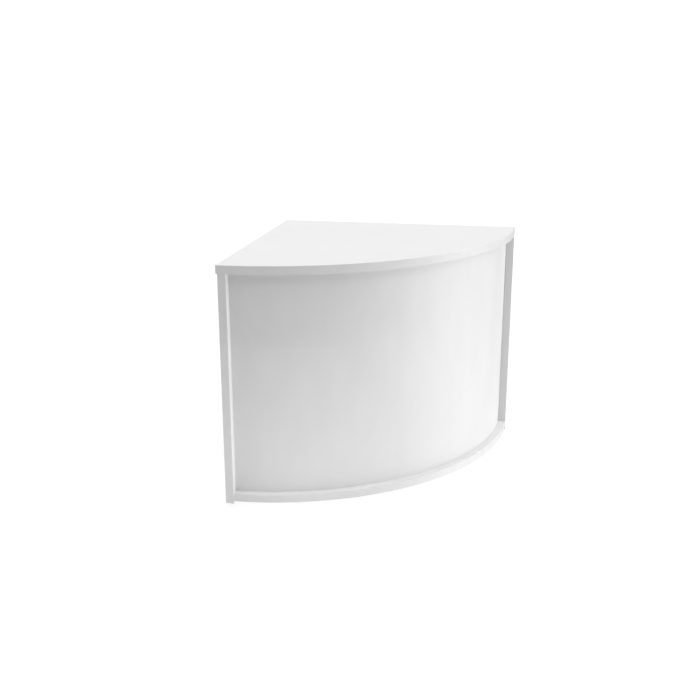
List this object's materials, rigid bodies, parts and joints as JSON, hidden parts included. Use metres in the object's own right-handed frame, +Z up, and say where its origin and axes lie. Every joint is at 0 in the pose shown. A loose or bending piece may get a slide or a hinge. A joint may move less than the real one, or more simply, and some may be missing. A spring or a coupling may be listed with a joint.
{
  "type": "corner counter unit",
  "caption": "Quarter-round corner counter unit with a curved recessed fascia, flat worktop and upright end panels on levelling feet.",
  "frame": {"origin": "centre of the unit's square plan, on the floor", "axes": "+Z up; -X out of the left end panel; +Y out of the right end panel; the curved front faces +X and -Y"},
  "size_m": [0.8, 0.8, 0.74],
  "materials": {
    "melamine_board": "matt white melamine-faced chipboard",
    "abs_edging": "satin white edging strip",
    "laminated_mdf": "matt white laminate on bendable MDF",
    "raw_mdf": "raw MDF",
    "beech": "raw beech",
    "zinc_cam": "die-cast zinc alloy",
    "zinc_plated_steel": "zinc-plated",
    "white_plastic": "satin white",
    "black_nylon": "moulded nylon"
  },
  "bodies": {
    "carcass": {"worktop": "melamine_board", "worktop_curved_edging": "abs_edging", "worktop_left_edging": "abs_edging", "worktop_right_edging": "abs_edging", "left_end_panel": "melamine_board", "right_end_panel": "melamine_board", "left_panel_front_edging": "abs_edging", "right_panel_front_edging": "abs_edging", "left_panel_rear_edging": "abs_edging", "base_panel": "melamine_board", "base_curved_edging": "abs_edging", "curved_fascia": "laminated_mdf", "worktop_cams": "zinc_cam", "worktop_cam_bolts": "zinc_plated_steel", "worktop_dowels": "beech", "base_cams": "zinc_cam", "base_cam_bolts": "zinc_plated_steel", "base_dowels": "beech", "base_cam_caps": "white_plastic", "corner_cams": "zinc_cam", "corner_cam_bolts": "zinc_plated_steel", "corner_dowels": "beech", "left_link_sleeves": "zinc_plated_steel", "right_link_sleeves": "zinc_plated_steel", "foot_inserts": "zinc_plated_steel", "centre_foot_block": "raw_mdf"},
    "left_front_foot_pad": {"left_front_foot_pad": "black_nylon"},
    "left_front_foot_stem": {"left_front_foot_stem": "zinc_plated_steel"},
    "left_rear_foot_pad": {"left_rear_foot_pad": "black_nylon"},
    "left_rear_foot_stem": {"left_rear_foot_stem": "zinc_plated_steel"},
    "right_front_foot_pad": {"right_front_foot_pad": "black_nylon"},
    "right_front_foot_stem": {"right_front_foot_stem": "zinc_plated_steel"},
    "right_rear_foot_pad": {"right_rear_foot_pad": "black_nylon"},
    "right_rear_foot_stem": {"right_rear_foot_stem": "zinc_plated_steel"},
    "centre_foot_pad": {"centre_foot_pad": "black_nylon"},
    "centre_foot_stem": {"centre_foot_stem": "zinc_plated_steel"}
  },
  "joints": [
    {"name": "left_front_foot_travel", "type": "slide", "parent": "carcass", "child": "left_front_foot_pad", "axis": [0, 0, -1], "range_m": [0, 0.01]},
    {"name": "left_front_foot_turn", "type": "hinge", "parent": "left_front_foot_pad", "child": "left_front_foot_stem", "pos_m": [-0.3835, -0.319, 0.01], "axis": [0, 0, -1], "range_deg": [0, 2880]},
    {"name": "left_rear_foot_travel", "type": "slide", "parent": "carcass", "child": "left_rear_foot_pad", "axis": [0, 0, -1], "range_m": [0, 0.01]},
    {"name": "left_rear_foot_turn", "type": "hinge", "parent": "left_rear_foot_pad", "child": "left_rear_foot_stem", "pos_m": [-0.3835, 0.316, 0.01], "axis": [0, 0, -1], "range_deg": [0, 2880]},
    {"name": "right_front_foot_travel", "type": "slide", "parent": "carcass", "child": "right_front_foot_pad", "axis": [0, 0, -1], "range_m": [0, 0.01]},
    {"name": "right_front_foot_turn", "type": "hinge", "parent": "right_front_foot_pad", "child": "right_front_foot_stem", "pos_m": [0.319, 0.3835, 0.01], "axis": [0, 0, -1], "range_deg": [0, 2880]},
    {"name": "right_rear_foot_travel", "type": "slide", "parent": "carcass", "child": "right_rear_foot_pad", "axis": [0, 0, -1], "range_m": [0, 0.01]},
    {"name": "right_rear_foot_turn", "type": "hinge", "parent": "right_rear_foot_pad", "child": "right_rear_foot_stem", "pos_m": [-0.291, 0.3835, 0.01], "axis": [0, 0, -1], "range_deg": [0, 2880]},
    {"name": "centre_foot_travel", "type": "slide", "parent": "carcass", "child": "centre_foot_pad", "axis": [0, 0, -1], "range_m": [0, 0.01]},
    {"name": "centre_foot_turn", "type": "hinge", "parent": "centre_foot_pad", "child": "centre_foot_stem", "pos_m": [0.1077, -0.1077, 0.01], "axis": [0, 0, -1], "range_deg": [0, 2880]}
  ],
  "couplings": [
    {"joint": "left_front_foot_turn", "follows": "left_front_foot_travel", "rad_per_m": 5026.5},
    {"joint": "left_rear_foot_turn", "follows": "left_rear_foot_travel", "rad_per_m": 5026.5},
    {"joint": "right_front_foot_turn", "follows": "right_front_foot_travel", "rad_per_m": 5026.5},
    {"joint": "right_rear_foot_turn", "follows": "right_rear_foot_travel", "rad_per_m": 5026.5},
    {"joint": "centre_foot_turn", "follows": "centre_foot_travel", "rad_per_m": 5026.5}
  ]
}
